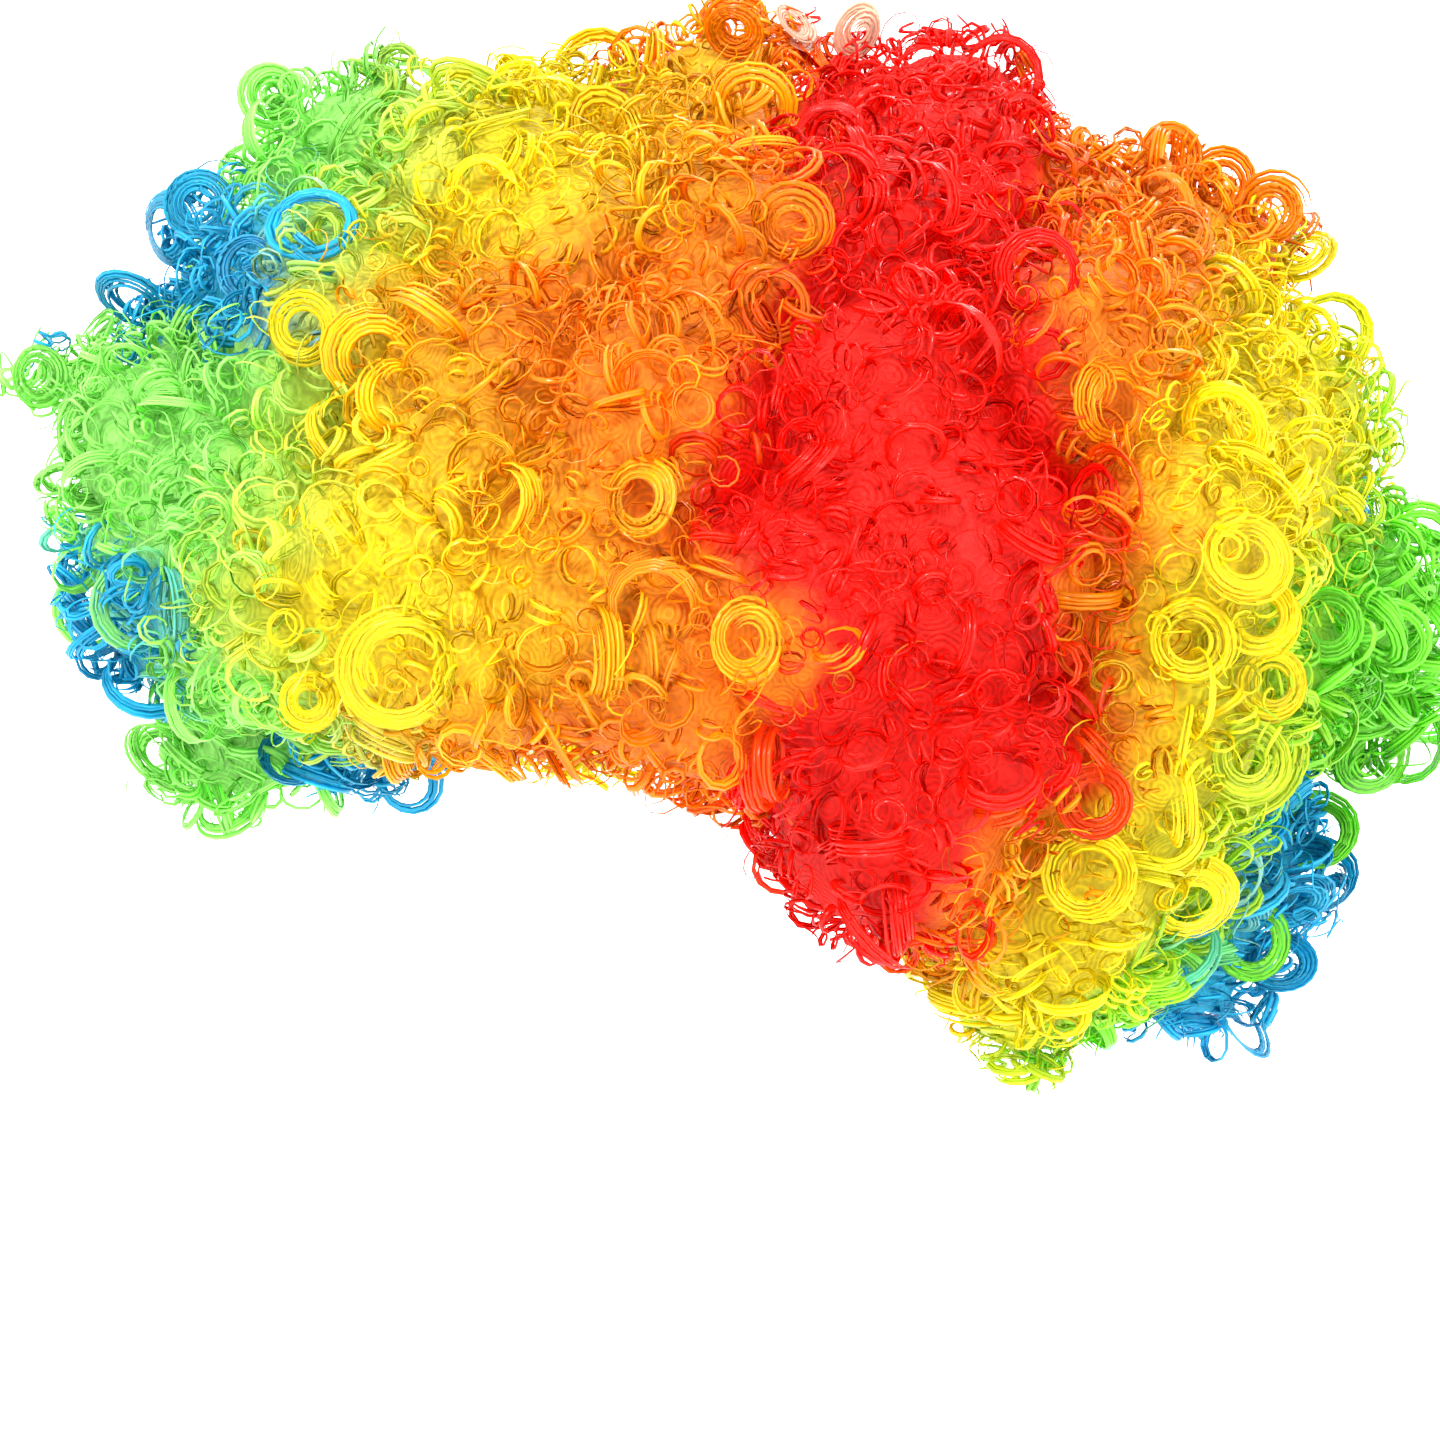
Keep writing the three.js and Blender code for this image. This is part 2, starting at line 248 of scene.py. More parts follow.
class WigDyes(PropertyGroup):
    """Colours of the curls."""

    red: dye_property("Red", "#FF1A0C")
    flame: dye_property("Flame red", "#FF4E0C")
    orange: dye_property("Orange", "#FF920C")
    amber: dye_property("Amber", "#FFB414")
    yellow: dye_property("Yellow", "#FFEC1C")
    lime: dye_property("Lime green", "#CDE030")
    mint: dye_property("Mint green", "#A8F878")
    green: dye_property("Green", "#84EA3E")
    blue: dye_property("Blue", "#2AB8E2")
    peach: dye_property("Peach", "#FFD8BC")


class WigCurls(PropertyGroup):
    """Sizes of the curls."""

    curl_spacing: FloatProperty(
        name="Curl spacing",
        description="Distance between neighbouring curls",
        default=6.8 * MM,
        unit="LENGTH",
    )
    frizz_spacing: FloatProperty(
        name="Frizz spacing",
        description="Distance between neighbouring loose strands",
        default=12 * MM,
        unit="LENGTH",
    )
    fold_fill: FloatProperty(
        name="Fold fill",
        description="Half the width of the folds that the curls grow over",
        default=6 * MM,
        unit="LENGTH",
    )
    frizz_width: FloatProperty(
        name="Frizz width",
        description="Width of a loose strand, drawn as coarse as it needs to show",
        default=0.6 * MM,
        unit="LENGTH",
    )
    swell: FloatProperty(
        name="Swell",
        description="How far the curls' form stands out, to make up for its rounding",
        default=3.2 * MM,
        unit="LENGTH",
    )
    form_voxel: FloatProperty(
        name="Form grain",
        description="Edge length of the faces of the form that the curls grow on",
        default=5 * MM,
        unit="LENGTH",
    )
    under_voxel: FloatProperty(
        name="Under-layer grain",
        description="Edge length of the matted under-layer's faces",
        default=7 * MM,
        unit="LENGTH",
    )
    under_sink: FloatProperty(
        name="Under-layer depth",
        description="How far the matted under-layer lies below the curls' form",
        default=3.5 * MM,
        unit="LENGTH",
    )
    lump_height: FloatProperty(
        name="Lump height",
        description="How far the lumps that the curls gather in stand out and sink in",
        default=5 * MM,
        unit="LENGTH",
    )
    seed: IntProperty(name="Seed", description="Start of the random draws", default=7)


class WigCap(PropertyGroup):
    """Sizes of the cap and its elastic edge."""

    wall: FloatProperty(
        name="Net thickness", description="Wall of the cap", default=2 * MM, unit="LENGTH"
    )
    edge_drop: FloatProperty(
        name="Edge drop",
        description="Height from the crown down to the cap's edge at the ears",
        default=101 * MM,
        unit="LENGTH",
    )
    edge_slope: FloatProperty(
        name="Edge slope",
        description="Slope of the edge from the forehead down to the nape",
        default=math.atan(78 / 196),
        subtype="ANGLE",
    )
    band_width: FloatProperty(
        name="Band width", description="Width of the elastic", default=9 * MM, unit="LENGTH"
    )
    band_thickness: FloatProperty(
        name="Band thickness",
        description="Thickness of the elastic",
        default=1.6 * MM,
        unit="LENGTH",
    )
    band_inset: FloatProperty(
        name="Band inset",
        description="Distance from the cap's edge to the elastic",
        default=1.5 * MM,
        unit="LENGTH",
    )


class WigStage(PropertyGroup):
    """Floor, light and camera."""

    distance: FloatProperty(
        name="Camera distance",
        description="From the middle of the wig to the camera",
        default=1.5,
        unit="LENGTH",
    )
    lens: FloatProperty(
        name="Lens", description="Focal length on a 36 mm sensor", default=131, unit="CAMERA"
    )
    floor_drop: FloatProperty(
        name="Floor drop",
        description="Height of the crown seat over the floor, as on a standing adult",
        default=1.7,
        unit="LENGTH",
    )


def deselect_all():
    """Leave no object selected, because an operator acts on all that are."""
    bpy.ops.object.select_all(action="DESELECT")


def make_active(obj):
    """Select one object alone."""
    deselect_all()
    obj.select_set(True)
    bpy.context.view_layer.objects.active = obj


def apply_all(obj):
    """Apply the object's modifiers in order."""
    make_active(obj)
    for modifier in list(obj.modifiers):
        bpy.ops.object.modifier_apply(modifier=modifier.name)


def add_node(tree, kind, settings=None, links=None):
    """Add one node with its settings, and link its inputs from other nodes' outputs. An
    input is named by its number where several of its node's inputs share a name."""
    node = tree.nodes.new(kind)
    for name, value in (settings or {}).items():
        if isinstance(name, int) or (name in node.inputs and not hasattr(type(node), name)):
            node.inputs[name].default_value = value
        else:
            setattr(node, name, value)
    for name, source in (links or {}).items():
        tree.links.new(source, node.inputs[name])
    return node


def new_material(name):
    """An empty node material with its output node."""
    material = bpy.data.materials.new(name)
    material.use_nodes = True
    tree = material.node_tree
    tree.nodes.clear()
    return material, tree, add_node(tree, "ShaderNodeOutputMaterial")


def curled_strand(name):
    """Crimped polyester fibre, spun smooth. Side-by-side filaments make streaks along each
    strand: their colour is painted lighter on the filaments' ridges and carries painted shade in
    the grooves between them, and their relief breaks the gloss up into small glints."""
    material, tree, output = new_material(name)
    place = add_node(tree, "ShaderNodeUVMap", {"uv_map": FIBRE_UV}).outputs["UV"]
    streaks = add_node(
        tree,
        "ShaderNodeTexNoise",
        {"noise_dimensions": "2D", "Scale": 1, "Detail": 1, "Roughness": 0.5},
        {"Vector": place},
    )
    share = add_node(
        # The streaks' colour share: painted light on the filaments' ridges and painted shade in
        # the grooves between them
        tree,
        "ShaderNodeMapRange",
        {"From Min": 0.32, "From Max": 0.68, "To Min": 0.75, "To Max": 1.15},
        {"Value": streaks.outputs[0]},
    )
    finish_fibre(tree, output, share.outputs[0], streaks.outputs[0], 0.5 * MM, 0.2)
    return material


def matted_curls(name):
    """The same fibre where it is matted, and its curls are too deep to see one by one.
    Rings wind round the middle of each small curl, and between the curls painted shade makes it
    darker."""
    material, tree, output = new_material(name)
    place = add_node(tree, "ShaderNodeTexCoord").outputs["Object"]
    swirl = add_node(
        tree, "ShaderNodeTexNoise", {"Scale": 0.6 / KNOT_SIZE, "Detail": 1}, {"Vector": place}
    )
    bent = add_node(
        tree,
        "ShaderNodeVectorMath",
        {"operation": "MULTIPLY_ADD", 1: (KNOT_SIZE / 2,) * 3},
        {0: swirl.outputs["Color"], 2: place},
    )
    knots = add_node(
        tree, "ShaderNodeTexVoronoi", {"Scale": 1 / KNOT_SIZE}, {"Vector": bent.outputs[0]}
    )
    turn = add_node(
        tree,
        "ShaderNodeMath",
        {"operation": "MULTIPLY_ADD", 1: 2 * math.pi * KNOT_SIZE / KNOT_RING},
        {0: knots.outputs["Distance"], 2: knots.outputs["Color"]},
    )
    ring = add_node(tree, "ShaderNodeMath", {"operation": "SINE"}, {0: turn.outputs[0]})
    # Painted shade: the colour darkens from each small curl's middle out to the gaps between the
    # curls
    depth = add_node(
        tree,
        "ShaderNodeMapRange",
        {"From Min": 0, "From Max": 0.8, "To Min": 1.1, "To Max": 0.8},
        {"Value": knots.outputs["Distance"]},
    )
    fuzz = add_node(
        tree, "ShaderNodeTexNoise", {"Scale": 1 / KNOT_RING, "Detail": 1}, {"Vector": place}
    )
    rough_ring = add_node(
        tree,
        "ShaderNodeMath",
        {"operation": "MULTIPLY_ADD", 1: 4},
        {0: fuzz.outputs[0], 2: ring.outputs[0]},
    )
    tone = add_node(
        tree,
        "ShaderNodeMapRange",
        {"From Min": 0.5, "From Max": 3.5, "To Min": 0.75, "To Max": 1.1},
        {"Value": rough_ring.outputs[0]},
    )
    share = add_node(
        tree,
        "ShaderNodeMath",
        {"operation": "MULTIPLY"},
        {0: depth.outputs[0], 1: tone.outputs[0]},
    )
    finish_fibre(tree, output, share.outputs[0], share.outputs[0], 2 * MM, 0.6)
    return material


def finish_fibre(tree, output, share, height, relief_depth, roughness):
    """Polyester dyed in the mass: light glows through it, and its gloss is a little weak,
    because the filaments shade each other."""
    dye = add_node(tree, "ShaderNodeAttribute", {"attribute_name": DYE})
    shade = add_node(
        tree,
        "ShaderNodeVectorMath",
        {"operation": "SCALE"},
        {0: dye.outputs["Color"], "Scale": share},
    )
    relief = add_node(
        tree, "ShaderNodeBump", {"Strength": 0.8, "Distance": relief_depth}, {"Height": height}
    )
    surface = add_node(
        tree,
        "ShaderNodeBsdfPrincipled",
        {"Roughness": roughness, "IOR": 1.54, "Specular IOR Level": 0.3},
        {"Base Color": shade.outputs[0], "Normal": relief.outputs[0]},
    )
    glow = add_node(tree, "ShaderNodeBsdfTranslucent", links={"Color": shade.outputs[0]})
    blend = add_node(
        tree, "ShaderNodeMixShader", {0: 0.45}, {1: surface.outputs[0], 2: glow.outputs[0]}
    )
    tree.links.new(blend.outputs[0], output.inputs["Surface"])


def unit(vectors):
    """The vectors along the last axis, each one metre long."""
    return vectors / np.maximum(np.linalg.norm(vectors, axis=-1, keepdims=True), 1e-12)


def dye_colours(dyes, names):
    """A linear colour for each dye name."""
    return np.array([list(getattr(dyes, name)) for name in names])


def dyes_at(points, own_dye, dyes, jitter):
    """The dye at each point: the stripes on the seen side, which run into each other a
    little, and the piece's own behind."""
    places = (points - FORM_CENTRE) / FORM_HALVES
    across = places @ ACROSS + jitter[:, 0]
    rise = places @ RISE + jitter[:, 1]
    rises = [row["rise"] for row in STRIPE_ENDS]
    ends = np.array([row["ends"] for row in STRIPE_ENDS])
    stripes = dye_colours(dyes, STRIPES)
    colours = np.repeat(stripes[:1], len(points), axis=0)
    for column, blend, step in zip(ends.T, STRIPE_BLENDS, np.diff(stripes, axis=0)):
        past = across - np.interp(rise, rises, column)
        colours += np.clip(0.5 + past / blend, 0, 1)[:, None] * step
    seen = unit(places) @ NEAR + jitter[:, 2] > SEEN_FROM
    return np.where(seen[:, None], colours, dye_colours(dyes, [own_dye]))


def spread_points(points, order, spacing):
    """Indices of points that keep the given distance, taken in the given order."""
    kept, grid = [], {}
    for i in order:
        step = spacing[i]
        cell = tuple((points[i] // step).astype(int))
        near = [
            j
            for dx in (-1, 0, 1)
            for dy in (-1, 0, 1)
            for dz in (-1, 0, 1)
            for j in grid.get((cell[0] + dx, cell[1] + dy, cell[2] + dz, step), ())
        ]
        if all(((points[j] - points[i]) ** 2).sum() > step * step for j in near):
            kept.append(i)
            grid.setdefault((*cell, step), []).append(i)
    return np.array(kept)


def from_head(points):
    """The way to each point from the head's middle, or from its upright axis lower down."""
    places = points - HEAD_CENTRE
    places[..., 2] = np.maximum(places[..., 2], 0)
    return places


def clear_of_head(paths):
    """The paths, moved out where they would reach into the head's room."""
    places = from_head(paths)
    ratio = np.linalg.norm(places / (HEAD_HALVES + HEAD_GAP), axis=-1, keepdims=True)
    push = np.where(ratio < 1, 1 / np.maximum(ratio, 0.05), 1)
    moved = places * push
    result = paths.copy()
    result[..., :2] = moved[..., :2]
    above = paths[..., 2] > HEAD_CENTRE[2]
    result[..., 2] = np.where(above, moved[..., 2] + HEAD_CENTRE[2], paths[..., 2])
    return result


def strand_arrays(paths, outward, widths, start):
    """Vertices, wall and end faces and fibre UVs of closed strands. Each has a flat
    three-sided section with a low ridge on its outer side, and narrows to its ends."""
    count, steps = paths.shape[:2]
    along = unit(np.gradient(paths, axis=1))
    side = unit(outward - (outward * along).sum(-1, keepdims=True) * along)
    across = np.cross(along, side)
    places = np.linspace(0, 1, steps)
    taper = np.clip(np.minimum(places, 1 - places) * 5 + 0.2, 0, 1)
    width = (widths[:, None] * taper[None])[..., None]
    ridge = width * STRAND_THICKNESS
    corners = [-across * width / 2, side * ridge, across * width / 2]
    vertices = paths[:, :, None] + np.stack(corners, axis=2)
    index = start + np.arange(vertices.size // 3).reshape(vertices.shape[:3])
    turned = np.roll(index, -1, axis=2)
    walls = np.stack([index[:, :-1], turned[:, :-1], turned[:, 1:], index[:, 1:]], axis=-1)
    ends = np.concatenate([index[:, 0, ::-1], index[:, -1]])
    lengths = np.linalg.norm(np.diff(paths, axis=1), axis=-1)
    run = np.concatenate([np.zeros((count, 1)), np.cumsum(lengths, axis=1)], axis=1)
    own_start = (np.arange(start, start + count) * STREAK_START)[:, None, None]
    streaks = (widths / STREAK_WIDTH)[:, None, None] * np.array([0, 0.5, 1])
    u = np.broadcast_to(streaks, index.shape) + own_start
    v = np.broadcast_to((run / STREAK_LENGTH)[:, :, None], index.shape)
    uvs = np.stack([u.ravel(), v.ravel()], axis=-1)
    return vertices.reshape(-1, 3), walls.reshape(-1, 4), ends, uvs


def strand_mesh(name, parts):
    """One mesh of all the strands, with their streaks as a UV map and their dyes."""
    arrays, dyes, start = [], [], 0
    for paths, outward, widths, colours in parts:
        arrays.append(strand_arrays(clear_of_head(paths), outward, widths, start))
        corners = len(arrays[-1][0])
        dyes.append(np.repeat(colours, corners // len(paths), axis=0))
        start += corners
    vertices, walls, ends, uvs = [np.concatenate(column) for column in zip(*arrays)]
    mesh = bpy.data.meshes.new(name)
    mesh.vertices.add(len(vertices))
    mesh.vertices.foreach_set("co", vertices.astype(np.float32).ravel())
    loops = np.concatenate([walls.ravel(), ends.ravel()])
    mesh.loops.add(len(loops))
    mesh.loops.foreach_set("vertex_index", loops.astype(np.int32))
    sizes = np.concatenate([np.full(len(walls), 4), np.full(len(ends), 3)])
    mesh.polygons.add(len(sizes))
    starts = np.concatenate([[0], np.cumsum(sizes)[:-1]])
    mesh.polygons.foreach_set("loop_start", starts.astype(np.int32))
    mesh.update(calc_edges=True)
    layer = mesh.uv_layers.new(name=FIBRE_UV)
    layer.uv.foreach_set("vector", uvs[loops].astype(np.float32).ravel())
    add_dyes(mesh, np.concatenate(dyes))
    mesh.shade_smooth()
    mesh.validate()
    return mesh


def add_dyes(mesh, colours):
    """The dye of each vertex as an attribute."""
    layer = mesh.attributes.new(DYE, "FLOAT_COLOR", "POINT")
    full = np.concatenate([colours, np.ones((len(colours), 1))], axis=1)
    layer.data.foreach_set("color", full.astype(np.float32).ravel())


def mesh_points(mesh):
    """The mesh's vertices as an array."""
    points = np.zeros(len(mesh.vertices) * 3, np.float32)
    mesh.vertices.foreach_get("co", points)
    return points.reshape(-1, 3).astype(float)


def surface_samples(mesh, count, rng):
    """Points and outward normals spread evenly over a mesh."""
    mesh.calc_loop_triangles()
    corners = np.zeros(len(mesh.loop_triangles) * 3, np.int32)
    mesh.loop_triangles.foreach_get("vertices", corners)
    a, b, c = mesh_points(mesh)[corners.reshape(-1, 3)].transpose(1, 0, 2)
    normals = np.cross(b - a, c - a)
    areas = np.linalg.norm(normals, axis=1)
    picked = rng.choice(len(areas), count, p=areas / areas.sum())
    first, second = np.sqrt(rng.random(count)), rng.random(count)
    weights = np.stack([1 - first, first * (1 - second), first * second], axis=1)
    triangles = np.stack([a[picked], b[picked], c[picked]], axis=1)
    return (triangles * weights[..., None]).sum(1), unit(normals[picked])


def polygons_of(objects):
    """The vertices and faces of all the objects as two lists."""
    vertices, faces = [], []
    for obj in objects:
        start = len(vertices)
        vertices += [v.co.copy() for v in obj.data.vertices]
        faces += [[start + i for i in p.vertices] for p in obj.data.polygons]
    return vertices, faces


def rounded_form(name, sources, fill, swell, voxel):
    """A round outer form of the sources, with narrow folds filled, and swollen a little."""
    vertices, faces = polygons_of(sources)
    mesh = bpy.data.meshes.new(name)
    mesh.from_pydata(vertices, [], faces)
    obj = bpy.data.objects.new(name, mesh)
    bpy.context.scene.collection.objects.link(obj)
    for strength in (0, fill, swell - fill):
        if strength:
            grow = obj.modifiers.new("Grow", "DISPLACE")
            grow.mid_level = 0
            grow.strength = strength
        remesh = obj.modifiers.new("Rounded", "REMESH")
        remesh.mode = "VOXEL"
        remesh.voxel_size = voxel
        smooth = obj.modifiers.new("Soft", "SMOOTH")
        smooth.factor = 0.5
        smooth.iterations = 4
    apply_all(obj)
    return obj


def make_under_layer(node, curls, dyes):
    """The matted curls under the surface: the frame's form, rounded and sunk a little."""
    source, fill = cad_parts[node], curls.fold_fill
    obj = rounded_form(node + "_base", [source], fill, UNDER_SWELL, curls.under_voxel)
    bpy.ops.object.shade_smooth()
    points = mesh_points(obj.data)
    places = from_head(points)
    outer = np.linalg.norm(places / HEAD_HALVES, axis=1, keepdims=True)
    share = np.clip((outer - SINK_FROM) / (SINK_TO - SINK_FROM), 0, 1)
    points = clear_of_head(points - unit(places) * curls.under_sink * share)
    obj.data.vertices.foreach_set("co", points.astype(np.float32).ravel())
    drift = np.array([noise.noise_vector(Vector(p) * DRIFT_SCALE) for p in points]) * DRIFT
    add_dyes(obj.data, dyes_at(points, HAIR[node][1], dyes, drift))
    return obj


def nearest_pieces(points, bases):
    """The number of the piece that lies nearest to each point."""
    counts = [len(obj.data.vertices) for obj in bases.values()]
    owner_of = np.repeat(np.arange(len(counts)), counts)
    finder = KDTree(len(owner_of))
    for i, vertex in enumerate(polygons_of(bases.values())[0]):
        finder.insert(vertex, i)
    finder.balance()
    return np.array([owner_of[finder.find(point)[1]] for point in points])


def open_samples(form, tree, curls, rng):
    """Points on the form with free space over them, and their normals."""
    area = sum(p.area for p in form.data.polygons)
    count = int(area * PLACES_FOR_CURL / curls.curl_spacing**2)
    points, normals = surface_samples(form.data, count, rng)
    is_open = [
        tree.ray_cast(Vector(p + n * 0.8 * MM), Vector(n), FREE_SPACE)[0] is None
        for p, n in zip(points, normals)
    ]
    return points[is_open], normals[is_open]


def place_ringlets(tree, scene):
    """Where the large ringlets lie on the form, the directions from there to the eye, which
    of them stand out past the form's outline, their sizes and their dyes."""
    eye = FORM_CENTRE + NEAR * scene.wig_stage.distance
    spots, beyond = [], []
    for row in RINGLETS:
        aim = FORM_CENTRE + (ACROSS * row["across"] + RISE * row["rise"]) * MM
        spot = tree.ray_cast(Vector(eye), Vector(aim - eye))[0]
        beyond.append(spot is None)
        if spot is None:
            spot = tree.find_nearest(Vector(aim))[0].lerp(Vector(aim), 0.6)
        spots.append(spot)
    spots = np.array(spots)
    sizes = np.array([row["size"] for row in RINGLETS]) * MM
    colours = dye_colours(scene.wig_dyes, [row["dye"] for row in RINGLETS])
    return spots, unit(eye - spots), np.array(beyond), sizes, colours


def lumps_at(points):
    """How far each point lies on a lump of curls, from about -0.5 to 0.5."""
    return np.array([noise.noise(Vector(p) / LUMP_SIZE) for p in points])


def lowness(points, start, reach):
    """How low each point is: 0 above the start and 1 past the reach, in millimetres."""
    return np.clip((start * MM - points[:, 2]) / (reach * MM), 0, 1)


def slow_waves(share, fewest, most, count, rng):
    """A sine along each of many strands, with its own number of waves and its own start."""
    waves = share * rng.uniform(fewest, most, (count, 1)) + rng.random((count, 1))
    return np.sin(2 * np.pi * waves)


def curl_axes(points, normals, rng):
    """The axis of each curl: out from the surface, leaning at random, and low down hanging."""
    count = len(points)
    flat = rng.normal(size=(count, 3))
    flat[:, 2] -= 2.5 * lowness(points, -60, 90)
    flat = unit(flat - (flat * normals).sum(-1, keepdims=True) * normals)
    lean = np.radians(rng.uniform(*CURL_LEAN, count))[:, None]
    return unit(np.cos(lean) * normals + np.sin(lean) * flat)


def coil_paths(points, axes, radius, turns, rise, steps, rng):
    """Coils round the given axes, with a radius that changes a little along the way."""
    count = len(points)
    first = unit(np.cross(axes, rng.normal(size=(count, 3))))
    second = np.cross(axes, first)
    share = np.linspace(0, 1, steps)[None]
    angle = 2 * np.pi * turns[:, None] * share
    grow = 1.1 - 0.22 * share + 0.12 * slow_waves(share, 0.5, 1.5, count, rng)
    out = first[:, None] * np.cos(angle)[..., None] + second[:, None] * np.sin(angle)[..., None]
    centre = points[:, None] + axes[:, None] * ((share - 0.5) * rise[:, None])[..., None]
    return centre + out * (radius[:, None] * grow)[..., None], out


def vary(colours, rng, amount):
    """Each colour a little lighter or darker than the next."""
    return colours * (1 + rng.uniform(-amount, amount, (len(colours), 1)))


def pick_kinds(points, in_ringlet, rng):
    """The kind of each curl. Wide ones gather towards the lower edge, and a large ringlet
    has small ones inside."""
    low = lowness(points, -30, 70)[:, None]
    top = np.array([kind["top"] for kind in CURL_KINDS])
    edge = np.array([kind["edge"] for kind in CURL_KINDS])
    chance = np.cumsum(top * (1 - low) + edge * low, axis=1)
    kinds = (rng.random((len(points), 1)) > chance[:, :-1]).sum(1)
    return np.where(in_ringlet, 0, kinds)


def side_by_side(paths, out, tilt, strands, rng):
    """The strands of each curl beside each other, and their outward directions. Every
    curl's flat band of strands is turned by its own angle about its length."""
    count, steps = paths.shape[:2]
    along = unit(np.gradient(paths, axis=1))
    side = unit(out - (out * along).sum(-1, keepdims=True) * along)
    across = np.cross(along, side)
    cos, sin = np.cos(tilt)[:, None, None], np.sin(tilt)[:, None, None]
    face, beside = side * cos + across * sin, across * cos - side * sin
    share = np.linspace(0, 1, steps)[None]
    bands = []
    for number in range(strands):
        drift = 0.35 * slow_waves(share, 0.6, 1.6, count, rng)
        place = number - (strands - 1) / 2 + drift
        bands.append(paths + beside * (place * STRAND_GAP)[..., None])
    return np.concatenate(bands), np.tile(face, (strands, 1, 1))


def curls_of_kind(kind, points, normals, colours, rng):
    """Paths, outward directions, widths and dyes of all strands in curls of one kind."""
    count, strands = len(points), kind["strands"]
    axes = curl_axes(points, normals, rng)
    radius = rng.uniform(*kind["radius"], count) * MM
    turns = rng.uniform(*kind["turns"], count)
    rise = turns * kind["pitch"] * MM
    lift = rng.uniform(-2, 3, count) * MM - 0.2 * radius
    base = points + normals * lift[:, None]
    paths, out = coil_paths(base, axes, radius, turns, rise, kind["steps"], rng)
    paths, face = side_by_side(paths, out, rng.uniform(-1.3, 1.3, count), strands, rng)
    widths = kind["width"] * MM * rng.uniform(0.7, 1.25, len(paths))
    return paths, face, widths, vary(np.tile(colours, (strands, 1)), rng, 0.13)


def ringlets(spots, to_eye, beyond, sizes, colours, rng):
    """Large ringlets of parallel strands that face the viewer, or any way past the form."""
    count, strands = len(spots), RINGLET_KIND["strands"]
    turned = np.where(beyond, BEYOND_LEAN, RINGLET_LEAN)[:, None]
    axes = unit(to_eye + turned * rng.normal(size=(count, 3)))
    turns = rng.uniform(*RINGLET_KIND["turns"], count)
    rise = turns * RINGLET_KIND["pitch"] * MM
    base = spots + to_eye * 4 * MM
    radius = sizes / 2 - strands / 2 * STRAND_GAP
    paths, out = coil_paths(base, axes, radius, turns, rise, RINGLET_KIND["steps"], rng)
    tilt = np.pi / 2 + rng.uniform(-0.5, 0.5, count)
    paths, face = side_by_side(paths, out, tilt, strands, rng)
    widths = rng.uniform(*RINGLET_KIND["width"], len(paths)) * MM
    return paths, face, widths, vary(np.tile(colours, (strands, 1)), rng, 0.14)


def frizz(points, normals, own_dye, curls, dyes, rng):
    """Loose strands over the curls, in uneven bends that hang straighter low down."""
    count = len(points)
    axes = curl_axes(points, normals, rng)
    low = lowness(points, -60, 60)
    radius = rng.uniform(*FRIZZ_KIND["radius"], count) * (1 - 0.4 * low) * MM
    turns = rng.uniform(*FRIZZ_KIND["turns"], count)
    rise = (rng.uniform(*FRIZZ_KIND["rise"], count) + FRIZZ_KIND["hang"] * low) * MM
    base = points + normals * rng.uniform(0, 3, count)[:, None] * MM
    paths, out = coil_paths(base, axes, radius, turns, rise, FRIZZ_KIND["steps"], rng)
    jitter = rng.normal(0, 0.04, (count, 3))
    colours = vary(dyes_at(points, own_dye, dyes, jitter), rng, 0.2)
    return paths, out, np.full(count, curls.frizz_width), colours


def make_strands(name, parts, material):
    """One piece of strands that rides on the wig."""
    mesh = strand_mesh(name, parts)
    mesh.materials.append(material)
    obj = bpy.data.objects.new(name, mesh)
    bpy.context.scene.collection.objects.link(obj)
    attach(obj, "root")
    return obj


def place_curls(form, tree, spots, curls, rng):
    """Points and normals on the form, and which of them have a curl and a loose strand.
    The spots get some curls more, drawn in towards the form."""
    points, normals = open_samples(form, tree, curls, rng)
    order = rng.permutation(len(points))
    inner = (normals * (points - HEAD_CENTRE)).sum(-1) < 0
    wide = np.where(inner, INNER_SPACING, 1.0)
    kept = spread_points(points, order, curls.curl_spacing * wide)
    loose = spread_points(points, order[::-1], curls.frizz_spacing * wide)
    filling = np.repeat(spots, FILLING_CURLS, axis=0)
    filling += rng.normal(0, FILLING_SCATTER * MM, filling.shape)
    pull = rng.uniform(*FILLING_PULL, (len(filling), 1)) * MM
    filling -= unit(filling - FORM_CENTRE) * pull
    kept = np.concatenate([kept, len(points) + np.arange(len(filling))])
    points = np.concatenate([points, filling])
    normals = np.concatenate([normals, unit(filling - FORM_CENTRE)])
    return points, normals, kept, loose


def small_curls(points, normals, kinds, own_dye, scene, rng):
    """All strands of one piece's curls, apart from the large ringlets, kind by kind."""
    parts = []
    for number, kind in enumerate(CURL_KINDS):
        some, out = points[kinds == number], normals[kinds == number]
        if len(some):
            lumps = lumps_at(some)[:, None]
            jitter = rng.normal(0, PLACE_JITTER, (len(some), 3))
            # Painted light on curls raised on lumps, painted shade on those sunk between them
            colours = dyes_at(some, own_dye, scene.wig_dyes, jitter) * (1 + LUMP_PAINTED_SHADE * lumps)
            raised = some + out * lumps * scene.wig_curls.lump_height
            parts.append(curls_of_kind(kind, raised, out, colours, rng))
    return parts


